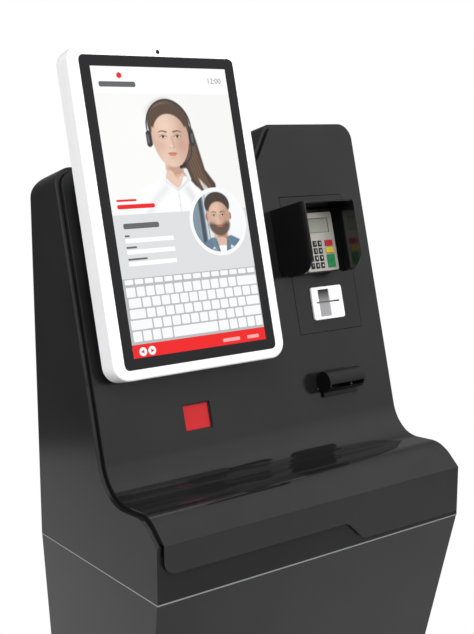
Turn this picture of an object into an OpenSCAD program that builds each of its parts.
// Free-standing video-banking kiosk: tapered lower cabinet, upper housing with a
// sloping fascia, portrait touch display, PIN pad, card reader, receipt printer and scanner.
// Frame: +Z up, the front faces -Y, origin on the floor under the middle of the kiosk.

/* [Body] */
// Width of the cabinet and of the upper housing
body_w = 740; // [736:1:744]
// Depth from the side rims at the front to the rear wall
body_d = 424; // [422:1:428]
// Height of the seam between cabinet and upper housing
seam_z = 620; // [615:1:630]
// Inward lean of each cabinet side, degrees
side_taper = 3.3; // [3:0.1:3.6]
// Backward lean of the cabinet front, degrees
front_taper = 12; // [11:0.5:12.5]

/* [Fascia] */
// Backward lean of the fascia, degrees
fascia_tilt = 15; // [14.5:0.5:15.5]
// Height up the slope of the low top on the left
low_top = 751; // [745:1:755]
// Height up the slope of the raised column's top
column_top = 827; // [820:1:832]
// Height of the ledge's valley above the seam
valley_h = 143.5; // [140:0.5:146]
// Height of the crease between ledge and apron above the seam
crease_h = 105.5; // [104:0.5:108]
// How far the fascia stands proud of the side rims
proud = 8; // [7:0.5:8]

/* [Display] */
// Width of the white frame
display_w = 385; // [380:1:388]
// Height of the white frame
display_h = 609; // [600:1:615]
// Thickness of the display
display_t = 44; // [43:1:44]
// Backward lean of the display, degrees
display_tilt = 14.6; // [14.4:0.1:15]

/* [PIN pad] */
// Travel of a key
key_travel = 1.5; // [1:0.1:1.5]
// Width of a digit key
key_w = 9; // [8:0.5:9]
// Height of a digit key
key_h = 11.4; // [10:0.2:11.4]

/* [Hidden] */
$fn = 48;
rim_w = 10;
wall = 9;
sheet = 3;
skin = 4;
rim_y = -213;
rear_y = rim_y + body_d;
apron_y = rim_y - proud;
slope_y = rim_y + 130.4;
rear_r = 38;
far = 900;

bend_r = 76;
lip_r = 67;
lip_angle = 42;
rise_angle = 3.5;
crown_h = 146.5;
bend_y = slope_y + (valley_h + bend_r * (1 - sin(fascia_tilt))) * tan(fascia_tilt) - bend_r * cos(fascia_tilt);
bend_z = seam_z + valley_h + bend_r;
lip_z = seam_z + crown_h - lip_r;
lip_y = apron_y + (lip_z + lip_r * cos(lip_angle) - seam_z - crease_h) / tan(lip_angle) + lip_r * sin(lip_angle);
shoulder_u = 83;
shoulder_run = 49.4;

apron_low = seam_z + 11.5;
apron_high = seam_z + 52.5;

insert_lo = [135, 384];
insert_hi = [305, 671];
scanner_lo = [-177, 235];
scanner_hi = [-116, 286];
neck_lo = [-195, 545];
neck_hi = [-117, 625];

hood_u = [105, 255];
hood_s = [502, 645];
hood_out = [111, 92];
hood_t = 3;
base_n = 20;
cover_n = 36;
cover_lo = [152, 508];
cover_hi = [236, 630];
digit_u = [166, 179.4, 192.8];
row_s = [565, 549.9, 534.8, 519.7];
side_key_u = 217.3;
side_key_w = 20;
enter_h = key_h + row_s[2] - row_s[3];
lcd_lo = [164, 588];
lcd_hi = [224, 618];

bezel_lo = [176, 409];
bezel_hi = [260, 478];
slot_s = 445.3;
slot_u = [186.5, 249.5];
roller_n = -40;
card_roller_r = 7;

outlet_r = 22;
outlet_s = 281;
outlet_u = [156, 253];
exit_s = 270;
printer_u = [150, 260];
platen_s = 262;
platen_n = -25;
platen_r = 8;
pinion_n = platen_n - 18.3;
roll_s = 305;
roll_n = -75;
roll_r = 35;

display_x = -155.8;
display_y = slope_y + 103.5;
display_z = seam_z + 647;
glass_w = 341.6;
glass_h = 571;

upper_door_x = 328;
upper_door_z = [662, 1260];
lower_door_x = 300;
lower_door_z = [130, 580];
hinge_r = 4.8;
pin_r = 2.5;
hinge_y = rear_y + 10 - hinge_r;
upper_hinges = [760, 1160];
lower_hinges = [210, 500];
upper_lock = [-300, 960];
lower_lock = [-272, 355];

plinth_x = 318;
plinth_y = [-75, 195];
foot_x = 290;
foot_y = [-50, 170];
anchor_x = 250;
anchor_y = [-30, 150];
bolt_x = 345;
bolt_y = [-150, 0, 150];
shelf_z = 330;
fan_x = 100;
fan_z = shelf_z + sheet + 45;

body_grey = [0.13, 0.13, 0.14];
hood_black = [0.05, 0.05, 0.06];
steel = [0.7, 0.71, 0.73];
white = [0.95, 0.95, 0.96];

DIGITS = ["1", "2", "3", "4", "5", "6", "7", "8", "9", "star", "0", "hash"];
KEYS = [for (d = DIGITS) str("key_", d)];

// ---- helpers ----

// Axes on the fascia: X across, Y up the slope, Z outwards
module on_fascia() translate([0, slope_y, seam_z]) rotate([90 - fascia_tilt, 0, 0]) children();

// Axes on the display's front: X across, Y up, Z outwards
module on_display() translate([display_x, display_y, display_z]) rotate([90 - display_tilt, 0, 0]) children();

module box(lo, hi) translate(lo) cube(hi - lo);

// A block on the fascia from 2-D corners and a span outwards
module slab(lo, hi, n0, n1) box([lo[0], lo[1], n0], [hi[0], hi[1], n1]);

// A (y, z) profile extruded across the width
module across(x0, x1) translate([x0, 0, 0]) rotate([90, 0, 90]) linear_extrude(x1 - x0) children();

// An (x, z) outline extruded through the depth
module through(y0, y1) translate([0, y1, 0]) rotate([90, 0, 0]) linear_extrude(y1 - y0) children();

// A rod across the fascia
module rod(r, u0, u1, s, n) translate([u0, s, n]) rotate([0, 90, 0]) cylinder(r = r, h = u1 - u0);

function unit(v) = v / norm(v);

function turn(a) = (a + 540) % 360 - 180;

// Arc that rounds corner p between neighbours a and b
function corner(p, a, b, r, n = 12) =
    let (u = unit(a - p), v = unit(b - p), h = acos(u * v) / 2, c = p + unit(u + v) * r / sin(h),
         p1 = p + u * r / tan(h) - c, p2 = p + v * r / tan(h) - c,
         a1 = atan2(p1[1], p1[0]), sweep = turn(atan2(p2[1], p2[0]) - a1))
    [for (i = [0:n]) c + r * [cos(a1 + sweep * i / n), sin(a1 + sweep * i / n)]];

function rounded(pts, radii) =
    let (m = len(pts))
    [for (i = [0:m - 1]) each radii[i] > 0
        ? corner(pts[i], pts[(i + m - 1) % m], pts[(i + 1) % m], radii[i]) : [pts[i]]];

function round_rect(lo, hi, r) = rounded([lo, [hi[0], lo[1]], hi, [lo[0], hi[1]]], [r, r, r, r]);

module plate(lo, hi, r, n0, n1)
    translate([0, 0, n0]) linear_extrude(n1 - n0) polygon(round_rect(lo, hi, r));

function reversed(list) = [for (i = [len(list) - 1:-1:0]) list[i]];

// ---- shared outlines ----

// Point in the side view, s up the slope and n outwards from it
function slope_point(s, n) = [slope_y + s * sin(fascia_tilt) - n * cos(fascia_tilt),
                              seam_z + s * cos(fascia_tilt) + n * sin(fascia_tilt)];

// Side-view curve of the fascia, d inside its outer face: slope, bend, ledge, lip, crease, apron
function fascia_curve(d, top, low) = concat(
    [slope_point(top, -d)],
    [for (i = [0:20]) let (a = -fascia_tilt - i * (90 - fascia_tilt + rise_angle) / 20)
        [bend_y + (bend_r + d) * cos(a), bend_z + (bend_r + d) * sin(a)]],
    [for (i = [0:14]) let (a = -rise_angle + i * (lip_angle + rise_angle) / 14)
        [lip_y - (lip_r - d) * sin(a), lip_z + (lip_r - d) * cos(a)]],
    [[apron_y + d, lip_z + (lip_r - d) * cos(lip_angle)
        - (lip_y - (lip_r - d) * sin(lip_angle) - apron_y - d) * tan(lip_angle)],
     [apron_y + d, low]]);

// Rounded corner between the rear wall and a top that lies s up the slope, e inside
function rear_corner(s, e) =
    let (yc = rear_y - rear_r, sc = s - rear_r, w = (slope_y + sc * sin(fascia_tilt) - yc) / cos(fascia_tilt),
         zc = seam_z + sc * cos(fascia_tilt) + w * sin(fascia_tilt), r = rear_r - e)
    [for (i = [0:14]) let (a = i * (90 - fascia_tilt) / 14) [yc + r * cos(a), zc + r * sin(a)]];

// Front outline on the slope, e inside: low top, shoulder and raised column
function outline(e) =
    let (k = tan(atan((column_top - low_top) / shoulder_run) / 2) * e, x = body_w / 2 - e)
    rounded([[-x, -far], [-x, low_top - e], [shoulder_u + k, low_top - e],
             [shoulder_u + shoulder_run + k, column_top - e], [x, column_top - e], [x, -far]],
            [0, 35 - e, 30 + e, 18 - e, 35 - e, 0]);

module outline_prism(e) on_fascia() translate([0, 0, -far]) linear_extrude(1.5 * far) polygon(outline(e));

// Outer block of the upper housing under a top at height s
module housing_part(x0, x1, s)
    across(x0, x1) polygon(concat(fascia_curve(proud, s, seam_z), [[rear_y, seam_z]], rear_corner(s, 0)));

// Space inside the upper housing under a top at height s, over the deck and behind the low front wall
module housing_space(x0, x1, s)
    across(x0, x1) polygon(concat([[rim_y + skin, seam_z + skin], [rear_y - skin, seam_z + skin]],
                                  rear_corner(s, skin), [slope_point(s - skin, 400), [rim_y - 300, seam_z + 85],
                                  [rim_y + skin, seam_z + 85]]));

module fascia_sheet(d0, d1)
    across(rim_w - body_w / 2, body_w / 2 - rim_w)
        polygon(concat(fascia_curve(d0, far, apron_low), reversed(fascia_curve(d1, far, apron_low))));

// Solid of the tapered cabinet, e inside its faces, between two heights
module cabinet_block(e, z0, z1) {
    function front_at(z) = rim_y + (seam_z - z) * tan(front_taper) + e / cos(front_taper);
    function half_at(z) = body_w / 2 - (seam_z - z) * tan(side_taper) - e / cos(side_taper);
    intersection() {
        across(-far, far) polygon([[front_at(z1), z1], [front_at(z0), z0], [rear_y - e, z0], [rear_y - e, z1]]);
        through(-far, far) polygon([[-half_at(z0), z0], [half_at(z0), z0], [half_at(z1), z1], [-half_at(z1), z1]]);
    }
}

// ---- base and lower cabinet ----

module plinth() color(hood_black) difference() {
    box([-plinth_x, plinth_y[0], 10], [plinth_x, plinth_y[1], 80]);
    box([sheet - plinth_x, plinth_y[0] + sheet, 14], [plinth_x - sheet, plinth_y[1] - sheet, 81]);
    for (x = [-anchor_x, anchor_x], y = anchor_y) translate([x, y, 9]) cylinder(r = 6.5, h = 6);
    for (x = [-foot_x, foot_x], y = foot_y) translate([x, y, 9]) cylinder(r = 5.2, h = 6);
    translate([0, 60, 9]) cylinder(r = 25, h = 6);
}

module levelling_feet() color(steel)
    for (x = [-foot_x, foot_x], y = foot_y) translate([x, y, 0]) {
        cylinder(r = 22, h = 8);
        cylinder(r = 5, h = 40);
        translate([0, 0, 8]) cylinder(r = 9, h = 2, $fn = 6);
        translate([0, 0, 14]) cylinder(r = 9, h = 8, $fn = 6);
    }

module deck_holes(z) for (x = [-bolt_x, bolt_x], y = bolt_y) translate([x, y, z]) cylinder(r = 4.2, h = 20);

module lower_cabinet() color(body_grey) difference() {
    cabinet_block(0, 80, seam_z - sheet);
    cabinet_block(sheet, 80 + sheet, seam_z - 2 * sheet);
    box([-300, -160, seam_z - 20], [300, 170, seam_z]);
    box([-lower_door_x - 2, rear_y - 10, lower_door_z[0] - 2], [lower_door_x + 2, rear_y + 1, lower_door_z[1] + 2]);
    box([-230.3, rear_y - 10, 94.7], [-199.7, rear_y + 1, 119.3]);
    translate([0, 60, 79]) cylinder(r = 25, h = 6);
    deck_holes(seam_z - 15);
}

module seam_trim() color(steel) difference() {
    box([-body_w / 2, rim_y, seam_z - sheet], [body_w / 2, rear_y, seam_z]);
    box([-320, -165, seam_z - 10], [320, 175, seam_z + 1]);
    deck_holes(seam_z - 15);
}

module equipment_shelf() color(steel) difference() {
    cabinet_block(sheet, shelf_z, shelf_z + sheet);
    box([-far, rear_y - 12, shelf_z - 1], [far, rear_y, shelf_z + sheet + 1]);
}

module deck_bolts() color(steel)
    for (x = [-bolt_x, bolt_x], y = bolt_y) translate([x, y, 0]) {
        translate([0, 0, seam_z - 14]) cylinder(r = 4, h = 18);
        translate([0, 0, seam_z + skin]) cylinder(r = 7, h = 5, $fn = 6);
        translate([0, 0, seam_z - 12]) cylinder(r = 7, h = 6, $fn = 6);
    }

// ---- upper housing and fascia ----

// Rails round the inside of the housing that the fascia's flange rests on
module fascia_rails() intersection() {
    across(-far, far) polygon(concat(fascia_curve(14, far, seam_z), reversed(fascia_curve(18, far, seam_z))));
    difference() {
        outline_prism(wall - 1);
        outline_prism(wall + 16);
    }
    box([-far, -far, seam_z + 84], [far, far, 3 * far]);
}

module upper_housing() color(body_grey) difference() {
    union() {
        fascia_rails();
        difference() {
            intersection() {
                union() {
                    housing_part(-body_w / 2, body_w / 2, low_top);
                    housing_part(shoulder_u - 40, body_w / 2, column_top);
                }
                outline_prism(0);
            }
            intersection() {
                union() {
                    housing_space(-far, far, low_top);
                    housing_space(shoulder_u - 30, far, column_top);
                }
                outline_prism(wall);
            }
        }
    }
    box([-upper_door_x - 2, rear_y - 10, upper_door_z[0] - 2], [upper_door_x + 2, rear_y + 1, upper_door_z[1] + 2]);
    box([-120, -60, seam_z - 1], [120, 100, seam_z + skin + 1]);
    deck_holes(seam_z - 15);
}

// Lower edge of the apron: a long low cut-out that steps down to the right
function apron_outline() =
    let (x = body_w / 2 - rim_w)
    rounded([[-x, 2 * far], [-x, apron_high], [56, apron_high], [98, apron_low + 1], [x, apron_low], [x, 2 * far]],
            [0, 24, 30, 30, 3, 0]);

module fascia() color(body_grey) difference() {
    union() {
        intersection() {
            fascia_sheet(0, skin);
            outline_prism(rim_w);
            through(-far, far) polygon(apron_outline());
        }
        intersection() {
            fascia_sheet(skin, 14);
            difference() {
                outline_prism(rim_w);
                outline_prism(rim_w + skin);
            }
            box([-far, -far, seam_z + crease_h], [far, far, 3 * far]);
        }
    }
    on_fascia() {
        slab(insert_lo - [0.6, 0.6], insert_hi + [0.6, 0.6], -skin - 1, 1);
        slab(scanner_lo, scanner_hi, -skin - 1, 1);
        slab(neck_lo - [1, 1], neck_hi + [1, 1], -skin - 1, 1);
        slab([164, exit_s - 6], [246, exit_s + 6], -skin - 1, 1);
    }
}

module insert_panel() color(body_grey) on_fascia() difference() {
    slab(insert_lo, insert_hi, -sheet, 0);
    slab([182, 436], [254, 455], -sheet - 1, 1);
    slab([170, 560], [220, 600], -sheet - 1, 1);
}

// ---- PIN pad ----

// Side view of a cheek: distance up the slope against distance outwards
module cheek(u, out)
    translate([u, 0, 0]) rotate([90, 0, 90]) linear_extrude(hood_t)
        polygon(rounded([[hood_s[1], 0], [hood_s[1], out], [hood_s[0], out], [hood_s[0], 0]], [0, 6, 42, 36]));

module pin_pad_hood() color(hood_black) on_fascia() {
    cheek(hood_u[0], hood_out[0]);
    cheek(hood_u[1] - hood_t, hood_out[1]);
    translate([0, hood_s[1], 0]) rotate([90, 0, 0]) linear_extrude(hood_t)
        polygon([[hood_u[0], 0], [hood_u[1], 0], [hood_u[1], hood_out[1] - 6], [hood_u[0], hood_out[0] - 6]]);
    slab([hood_u[0], 560], [hood_u[1], hood_s[1]], 0, hood_t);
}

module pin_pad_base() color(hood_black) on_fascia() difference() {
    union() {
        slab([hood_u[0] + 6, 506], [hood_u[1] - 6, 640], hood_t, base_n);
        slab([hood_u[0] + 6, 506], [hood_u[1] - 6, 558], 0, hood_t);
    }
    slab([175, 565], [215, 595], -1, base_n + 1);
}

module key_hole(u, s, w, h) slab([u - w / 2 - 0.4, s - h / 2 - 0.4], [u + w / 2 + 0.4, s + h / 2 + 0.4], 30, 40);

module pin_pad_cover() color([0.75, 0.73, 0.66]) on_fascia() difference() {
    plate(cover_lo, cover_hi, 4, base_n, cover_n);
    plate(cover_lo + [2.5, 2.5], cover_hi - [2.5, 2.5], 2, base_n - 1, cover_n - 2.5);
    for (u = digit_u, s = row_s) key_hole(u, s, key_w, key_h);
    for (s = [row_s[0], row_s[1]]) key_hole(side_key_u, s, side_key_w, key_h);
    key_hole(side_key_u, (row_s[2] + row_s[3]) / 2, side_key_w, enter_h);
    slab(lcd_lo - [0.2, 0.2], lcd_hi + [0.2, 0.2], 30, 40);
}

module pin_pad_display() color([0.55, 0.62, 0.5]) on_fascia() {
    slab(lcd_lo, lcd_hi, cover_n - 2.5, cover_n - 0.4);
    slab(lcd_lo - [2, 2], lcd_hi + [2, 2], cover_n - 5, cover_n - 2.5);
}

module keypad_mat() color([0.3, 0.3, 0.32]) on_fascia() {
    slab([156, 511], [232, 575], base_n, 25);
    for (u = concat(digit_u, [side_key_u]), s = row_s) translate([u, s, 25]) cylinder(r = 3.2, h = 4.6);
}

// One key: a cap through the cover and a wider foot under it
module key(u, s, w, h, shade) color(shade) on_fascia() {
    slab([u - w / 2, s - h / 2], [u + w / 2, s + h / 2], 31.2, cover_n + key_travel + 0.1);
    slab([u - w / 2 - 0.9, s - h / 2 - 0.9], [u + w / 2 + 0.9, s + h / 2 + 0.9], 31.2, 33.2);
}

module digit_key(i) key(digit_u[i % 3], row_s[floor(i / 3)], key_w, key_h, hood_black);

module key_cancel() key(side_key_u, row_s[0], side_key_w, key_h, [0.8, 0.15, 0.12]);

module key_clear() key(side_key_u, row_s[1], side_key_w, key_h, [0.9, 0.75, 0.1]);

module key_enter() key(side_key_u, (row_s[2] + row_s[3]) / 2, side_key_w, enter_h, [0.1, 0.6, 0.3]);

// ---- card reader ----

module card_bezel() color(white) on_fascia() difference() {
    union() {
        plate(bezel_lo, bezel_hi, 5, 0, 5);
        slab([183, 437], [253, 454], -sheet - 0.5, 0);
    }
    slab([193.5, 415], [223.5, 472], 2.2, 6);
    slab([slot_u[0], slot_s - 1.5], [slot_u[1], slot_s + 1.5], -10, 10);
}

module card_reader() color(steel) on_fascia() difference() {
    slab([176, 405], [260, 486], -100, -sheet);
    slab([182, 428], [254, 462], -97, 0);
    for (side = [-1, 1]) rod(2.55, 170, 270, slot_s + side * (card_roller_r + 0.6), roller_n);
}

module card_shutter() color(hood_black) on_fascia() slab([184, 441], [252, 449.6], -6.8, -4.8);

module card_roller(side) on_fascia() {
    rod(card_roller_r, 190, 246, slot_s + side * (card_roller_r + 0.6), roller_n);
    rod(2.5, 176.5, 259.5, slot_s + side * (card_roller_r + 0.6), roller_n);
}

module card_feed_roller() color([0.2, 0.2, 0.2]) card_roller(-1);

module card_pressure_roller() color([0.35, 0.35, 0.37]) card_roller(1);

// ---- receipt printer ----

module receipt_outlet() color(hood_black) on_fascia() difference() {
    union() {
        rod(outlet_r, outlet_u[0], outlet_u[1], outlet_s, outlet_r);
        slab([166, 249], [260, 262], 0, 6);
        slab([162, 262], [247, 300], 0, 10);
    }
    slab([160, exit_s - 3.2], [249, exit_s + 3.2], -1, 50);
}

module receipt_printer() color(steel) on_fascia() difference() {
    union() {
        slab([printer_u[0], 215], [printer_u[0] + skin, 345], -125, -skin);
        slab([printer_u[1] - skin, 215], [printer_u[1], 345], -125, -skin);
        slab([printer_u[0], 215], [printer_u[1], 219], -125, -8);
        slab([printer_u[0], 215], [printer_u[1], 300], -11, -8);
        slab([printer_u[0], 215], [printer_u[1], 345], -125, -122);
    }
    slab([160, exit_s - 4], [250, exit_s + 4], -20, 0);
    rod(3.05, 140, 270, platen_s, platen_n);
    rod(3, 250, 270, platen_s, pinion_n);
}

// Spur gear outline of module 1 with straight-sided teeth and wide gaps
function gear_outline(z, phase) =
    [for (i = [0:z - 1]) each
        [for (k = [[-0.27, -1.25], [-0.1, 0.85], [0.1, 0.85], [0.27, -1.25]])
            let (a = phase + (i + k[0]) * 360 / z) (z / 2 + k[1]) * [cos(a), sin(a)]]];

module gear(z, u, s, n, phase) translate([u, s, n]) rotate([0, 90, 0]) linear_extrude(6)
    polygon(gear_outline(z, phase));

module platen_roller() color([0.2, 0.2, 0.2]) on_fascia() {
    rod(platen_r, 157, 253, platen_s, platen_n);
    rod(3, 150.5, 263, platen_s, platen_n);
    gear(24, 262, platen_s, platen_n, 0);
}

module feed_pinion() color([0.85, 0.85, 0.8]) on_fascia() {
    rod(2, 246, 263, platen_s, pinion_n);
    gear(12, 262, platen_s, pinion_n, 15);
}

module feed_motor() color(steel) on_fascia() difference() {
    rod(9.5, 216, 256, platen_s, pinion_n);
    rod(2.05, 245, 257, platen_s, pinion_n);
}

module paper_roll() color(white) on_fascia() difference() {
    rod(roll_r, 165, 245, roll_s, roll_n);
    rod(8.08, 160, 250, roll_s, roll_n);
}

module paper_spindle() color(steel) on_fascia() rod(8, printer_u[0] + skin, printer_u[1] - skin, roll_s, roll_n);

// ---- scanner ----

module scanner_window() color([0.8, 0.1, 0.1]) on_fascia()
    slab(scanner_lo + [1.5, 1.5], scanner_hi - [1.5, 1.5], -9, -6.5);

module scanner_housing() color(hood_black) on_fascia() difference() {
    slab(scanner_lo - [6, 6], scanner_hi + [6, 6], -60, -skin);
    slab(scanner_lo + [1.5, 1.5], scanner_hi - [1.5, 1.5], -9, 0);
    slab(scanner_lo + [5, 5], scanner_hi - [5, 5], -56, 0);
}

// ---- display ----

module display_frame() color(white) on_display() difference() {
    plate([-display_w / 2, -display_h / 2], [display_w / 2, display_h / 2], 32, -display_t, 0);
    plate([-glass_w / 2 - 0.4, -glass_h / 2 - 0.4], [glass_w / 2 + 0.4, glass_h / 2 + 0.4], 9, -3.4, 1);
    plate([-162, -278], [162, 278], 4, -display_t - 1, 0);
    translate([0, 295, -2]) cylinder(r = 4, h = 3);
}

module display_glass() color([0.03, 0.03, 0.03]) on_display()
    plate([-glass_w / 2, -glass_h / 2], [glass_w / 2, glass_h / 2], 8.6, -3.4, -0.2);

module display_panel() color([0.2, 0.3, 0.4]) on_display() box([-161, -277, -18], [161, 277, -3.4]);

module display_back_cover() color(white) on_display() difference() {
    plate([-162, -278], [162, 278], 4, -display_t, -20);
    plate([-158, -274], [158, 274], 3, -display_t + 4, -19);
}

module display_camera() color(hood_black) on_display() translate([0, 295, -2]) cylinder(r = 4, h = 2.3);

module display_mount() color(hood_black) {
    on_display() box([-110, -195, -display_t - 4], [110, 25, -display_t]);
    on_fascia() difference() {
        union() {
            slab(neck_lo, neck_hi, -8, 20.6);
            slab(neck_lo - [40, 40], neck_hi + [40, 40], -8, -skin);
        }
        slab(neck_lo + [18, 18], neck_hi - [18, 18], -9, 18);
    }
}

// ---- doors, hinges and locks ----

module knuckle(x, z0, z1) translate([x, hinge_y, z0]) cylinder(r = hinge_r, h = z1 - z0);

// The half of each hinge that turns with a door whose edge is at x
module door_leaf(x, z) {
    box([x - 33, rear_y, z - 31], [x - 4, rear_y + 2.2, z + 31]);
    box([x - 5, rear_y, z - 10], [x + 3, rear_y + 2.2, z + 10]);
    knuckle(x + 3, z - 10, z + 10);
}

module rear_door(x, span, hinges, lock) difference() {
    union() {
        box([-x, rear_y - skin, span[0]], [x, rear_y, span[1]]);
        for (z = hinges) door_leaf(x, z);
    }
    for (z = hinges) translate([x + 3, hinge_y, z - 20]) cylinder(r = pin_r + 0.06, h = 40);
    translate([lock[0], rear_y - 10, lock[1]]) rotate([-90, 0, 0]) cylinder(r = 9.06, h = 20);
}

module upper_rear_door() color(body_grey) difference() {
    rear_door(upper_door_x, upper_door_z, upper_hinges, upper_lock);
    for (i = [0:7]) box([-120, rear_y - 10, 1080 + i * 14], [120, rear_y + 1, 1086 + i * 14]);
}

module lower_rear_door() color(body_grey) difference() {
    rear_door(lower_door_x, lower_door_z, lower_hinges, lower_lock);
    for (i = [0:7]) box([-120, rear_y - 10, 440 + i * 14], [120, rear_y + 1, 446 + i * 14]);
}

// The fixed half of one hinge
module frame_leaf(x, z) difference() {
    union() {
        box([x + 10, rear_y, z - 31], [x + 26, rear_y + 2.2, z + 31]);
        for (side = [-1, 1]) translate([0, 0, z + side * 21]) {
            box([x + 3, rear_y, -10], [x + 11, rear_y + 2.2, 10]);
            knuckle(x + 3, -10, 10);
        }
    }
    translate([x + 3, hinge_y, z - 40]) cylinder(r = pin_r, h = 80);
}

module door_hinges() color(steel) {
    for (z = upper_hinges) frame_leaf(upper_door_x, z);
    for (z = lower_hinges) frame_leaf(lower_door_x, z);
}

module hinge_pins() color(steel) {
    for (z = upper_hinges) translate([upper_door_x + 3, hinge_y, z - 33]) cylinder(r = pin_r, h = 66);
    for (z = lower_hinges) translate([lower_door_x + 3, hinge_y, z - 33]) cylinder(r = pin_r, h = 66);
}

// Lock plug with its head outside and its cam inside, cam upright as when unlocked
module door_lock(at) color(steel) translate([at[0], rear_y, at[1]]) difference() {
    union() {
        translate([0, 1, 0]) rotate([90, 0, 0]) cylinder(r = 9, h = 16);
        translate([0, 3.4, 0]) rotate([90, 0, 0]) cylinder(r = 12, h = 3.2);
        box([-8, -15, -8], [8, -11.5, 40]);
    }
    box([-1, 1, -5], [1, 4, 5]);
}

module upper_door_lock() door_lock(upper_lock);

module lower_door_lock() door_lock(lower_lock);

// ---- equipment ----

module computer_case() color(hood_black) difference() {
    union() {
        difference() {
            box([-150, -100, shelf_z + sheet], [150, 120, shelf_z + sheet + 90]);
            box([-148, -98, shelf_z + sheet + 2], [148, 118, shelf_z + sheet + 88]);
            translate([fan_x, 116, fan_z]) rotate([-90, 0, 0]) cylinder(r = 38, h = 6);
        }
        translate([fan_x, 118, fan_z]) rotate([-90, 0, 0]) cylinder(r = 12, h = 2);
        translate([fan_x, 102, fan_z]) rotate([-90, 0, 0]) cylinder(r = 2, h = 17);
        for (a = [0, 120, 240]) translate([fan_x, 119, fan_z]) rotate([0, a, 0]) box([-2, -1, 0], [2, 1, 39]);
    }
}

module cooling_fan() color([0.15, 0.15, 0.16]) translate([fan_x, 104, fan_z]) rotate([-90, 0, 0]) difference() {
    union() {
        cylinder(r = 13, h = 11);
        for (i = [0:6]) rotate([0, 0, i * 360 / 7]) translate([22, 0, 5.5]) rotate([32, 0, 0])
            box([-11, -8, -0.8], [13, 8, 0.8]);
    }
    translate([0, 0, -1]) cylinder(r = 2.05, h = 13);
}

module power_supply() color(steel) difference() {
    box([180, -60, shelf_z + sheet], [300, 100, shelf_z + sheet + 65]);
    for (i = [0:7]) box([192 + i * 13, 96, shelf_z + 15], [197 + i * 13, 101, shelf_z + 55]);
}

module power_inlet() color(hood_black) {
    difference() {
        box([-230, rear_y - 24, 95], [-200, rear_y + 1.5, 119]);
        box([-226, rear_y - 16, 99], [-204, rear_y + 2, 115]);
    }
    for (x = [-222, -215, -208]) box([x - 0.75, rear_y - 17, 105], [x + 0.75, rear_y - 2, 109]);
}

// ---- nodes ----

plinth();
levelling_feet();
lower_cabinet();
lower_rear_door();
seam_trim();
upper_housing();
upper_rear_door();
door_hinges();
hinge_pins();
upper_door_lock();
lower_door_lock();
fascia();
insert_panel();
pin_pad_hood();
pin_pad_base();
pin_pad_cover();
pin_pad_display();
keypad_mat();
for (i = [0:11]) digit_key(i);
key_cancel();
key_clear();
key_enter();
card_bezel();
card_reader();
card_shutter();
card_feed_roller();
card_pressure_roller();
receipt_outlet();
receipt_printer();
platen_roller();
feed_pinion();
feed_motor();
paper_roll();
paper_spindle();
scanner_window();
scanner_housing();
display_frame();
display_glass();
display_panel();
display_back_cover();
display_camera();
display_mount();
computer_case();
cooling_fan();
power_supply();
power_inlet();
deck_bolts();
equipment_shelf();
